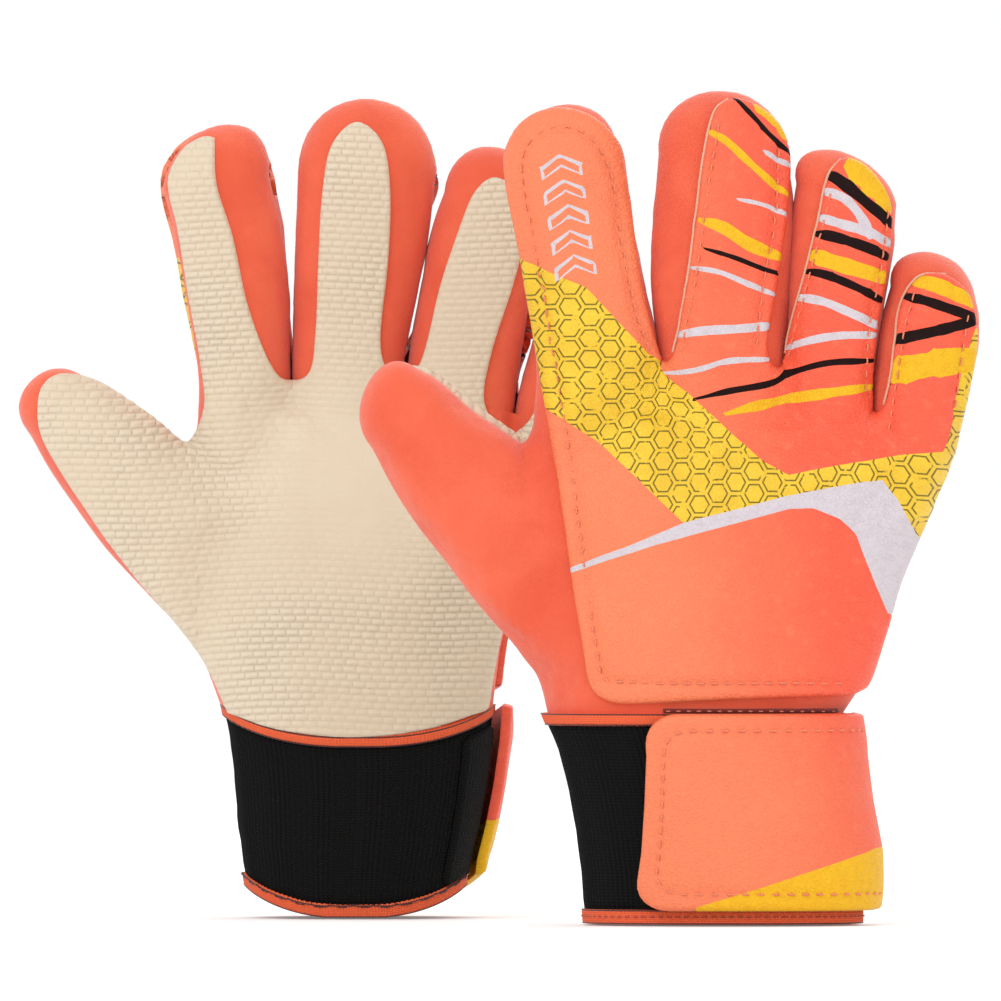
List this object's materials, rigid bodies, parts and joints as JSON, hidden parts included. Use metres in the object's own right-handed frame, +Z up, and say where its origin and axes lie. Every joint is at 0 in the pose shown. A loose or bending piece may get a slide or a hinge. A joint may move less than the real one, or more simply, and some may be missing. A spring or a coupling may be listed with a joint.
{
  "type": "goalkeeper gloves",
  "caption": "Padded sports gloves with a ribbed latex palm, a printed foam back, finger stalls that flex, and an elastic cuff closed by a wrap strap.",
  "frame": {"origin": "on the floor, at the middle of the pair's footprint", "axes": "+Z up along the fingers, +X from the thumbs to the little fingers, -Y towards the viewer: the right glove stands in front and shows its back, the left glove shows its palm"},
  "size_m": [0.2426, 0.167, 0.207],
  "materials": {
    "stall_fabric": "orange coated knit, satin",
    "lining": "dark brushed knit",
    "latex": "cream latex foam, matt, embossed in ribs",
    "pad": "coral synthetic leather over foam, printed",
    "print_panel": "printed synthetic leather with brush strokes",
    "elastic": "black woven elastic, matt",
    "binding": "orange folded tape with dark thread",
    "loop": "dark napped loop pile",
    "hook": "moulded hook tape",
    "strap": "coral synthetic leather with stitched edge"
  },
  "bodies": {
    "left_hand": {"left_hand_shell": "stall_fabric", "left_hand_lining": "lining", "left_palm_latex": "latex", "left_backhand_pad": "pad", "left_wrist_elastic": "elastic", "left_wrist_binding": "binding", "left_hem_binding": "binding", "left_loop_patch": "loop", "left_strap_anchor": "strap"},
    "left_index": {"left_index_stall": "stall_fabric", "left_index_latex": "latex", "left_index_back_panel": "print_panel"},
    "left_middle": {"left_middle_stall": "stall_fabric", "left_middle_latex": "latex", "left_middle_back_panel": "print_panel"},
    "left_ring": {"left_ring_stall": "stall_fabric", "left_ring_latex": "latex", "left_ring_back_panel": "print_panel"},
    "left_little": {"left_little_stall": "stall_fabric", "left_little_latex": "latex", "left_little_back_panel": "print_panel"},
    "left_thumb": {"left_thumb_stall": "stall_fabric", "left_thumb_latex": "latex"},
    "left_strap": {"left_strap": "strap", "left_hook_patch": "hook"},
    "right_hand": {"right_hand_shell": "stall_fabric", "right_hand_lining": "lining", "right_palm_latex": "latex", "right_backhand_pad": "pad", "right_wrist_elastic": "elastic", "right_wrist_binding": "binding", "right_hem_binding": "binding", "right_loop_patch": "loop", "right_strap_anchor": "strap"},
    "right_index": {"right_index_stall": "stall_fabric", "right_index_latex": "latex", "right_index_back_panel": "print_panel"},
    "right_middle": {"right_middle_stall": "stall_fabric", "right_middle_latex": "latex", "right_middle_back_panel": "print_panel"},
    "right_ring": {"right_ring_stall": "stall_fabric", "right_ring_latex": "latex", "right_ring_back_panel": "print_panel"},
    "right_little": {"right_little_stall": "stall_fabric", "right_little_latex": "latex", "right_little_back_panel": "print_panel"},
    "right_thumb": {"right_thumb_stall": "stall_fabric", "right_thumb_latex": "latex"},
    "right_strap": {"right_strap": "strap", "right_hook_patch": "hook"}
  },
  "joints": [
    {"name": "left_index_flex", "type": "hinge", "parent": "left_hand", "child": "left_index", "pos_m": [-0.06527, 0.0393, 0.131], "axis": [0.9914, 0, 0.1305], "range_deg": [0, 80], "stiffness_Nm_per_rad": 0.02},
    {"name": "left_middle_flex", "type": "hinge", "parent": "left_hand", "child": "left_middle", "pos_m": [-0.03977, 0.0393, 0.1335], "axis": [0.999, 0, -0.0436], "range_deg": [0, 80], "stiffness_Nm_per_rad": 0.02},
    {"name": "left_ring_flex", "type": "hinge", "parent": "left_hand", "child": "left_ring", "pos_m": [-0.01327, 0.0393, 0.13], "axis": [0.9877, 0, -0.1564], "range_deg": [0, 80], "stiffness_Nm_per_rad": 0.02},
    {"name": "left_little_flex", "type": "hinge", "parent": "left_hand", "child": "left_little", "pos_m": [0.01223, 0.0393, 0.124], "axis": [0.9681, 0, -0.2504], "range_deg": [0, 80], "stiffness_Nm_per_rad": 0.02},
    {"name": "left_thumb_fold", "type": "hinge", "parent": "left_hand", "child": "left_thumb", "pos_m": [-0.07702, 0.0384, 0.09025], "axis": [-0.0597, 0, 0.9982], "range_deg": [0, 75], "stiffness_Nm_per_rad": 0.02},
    {"name": "left_strap_peel", "type": "hinge", "parent": "left_hand", "child": "left_strap", "pos_m": [-0.00089, 0.0447, 0.028], "axis": [-0.0473, -0.0022, -0.9989], "range_deg": [0, 120]},
    {"name": "right_index_flex", "type": "hinge", "parent": "right_hand", "child": "right_index", "pos_m": [0.02473, -0.0413, 0.13], "axis": [-0.9877, 0, -0.1564], "range_deg": [0, 80], "stiffness_Nm_per_rad": 0.02},
    {"name": "right_middle_flex", "type": "hinge", "parent": "right_hand", "child": "right_middle", "pos_m": [0.05123, -0.0413, 0.1313], "axis": [-0.9969, 0, 0.0785], "range_deg": [0, 80], "stiffness_Nm_per_rad": 0.02},
    {"name": "right_ring_flex", "type": "hinge", "parent": "right_hand", "child": "right_ring", "pos_m": [0.07823, -0.0413, 0.1283], "axis": [-0.989, 0, 0.1478], "range_deg": [0, 80], "stiffness_Nm_per_rad": 0.02},
    {"name": "right_little_flex", "type": "hinge", "parent": "right_hand", "child": "right_little", "pos_m": [0.10323, -0.0413, 0.124], "axis": [-0.9816, 0, 0.1908], "range_deg": [0, 80], "stiffness_Nm_per_rad": 0.02},
    {"name": "right_thumb_fold", "type": "hinge", "parent": "right_hand", "child": "right_thumb", "pos_m": [0.00223, -0.0404, 0.091], "axis": [0.0535, 0, -0.9986], "range_deg": [0, 75], "stiffness_Nm_per_rad": 0.02},
    {"name": "right_strap_peel", "type": "hinge", "parent": "right_hand", "child": "right_strap", "pos_m": [0.0913, -0.04716, 0.028], "axis": [-0.1037, -0.0022, 0.9946], "range_deg": [0, 120]},
    {"name": "right_glove_lift", "type": "slide", "parent": "left_hand", "child": "right_hand", "axis": [0, 0, 1], "range_m": [0, 0.22]}
  ]
}
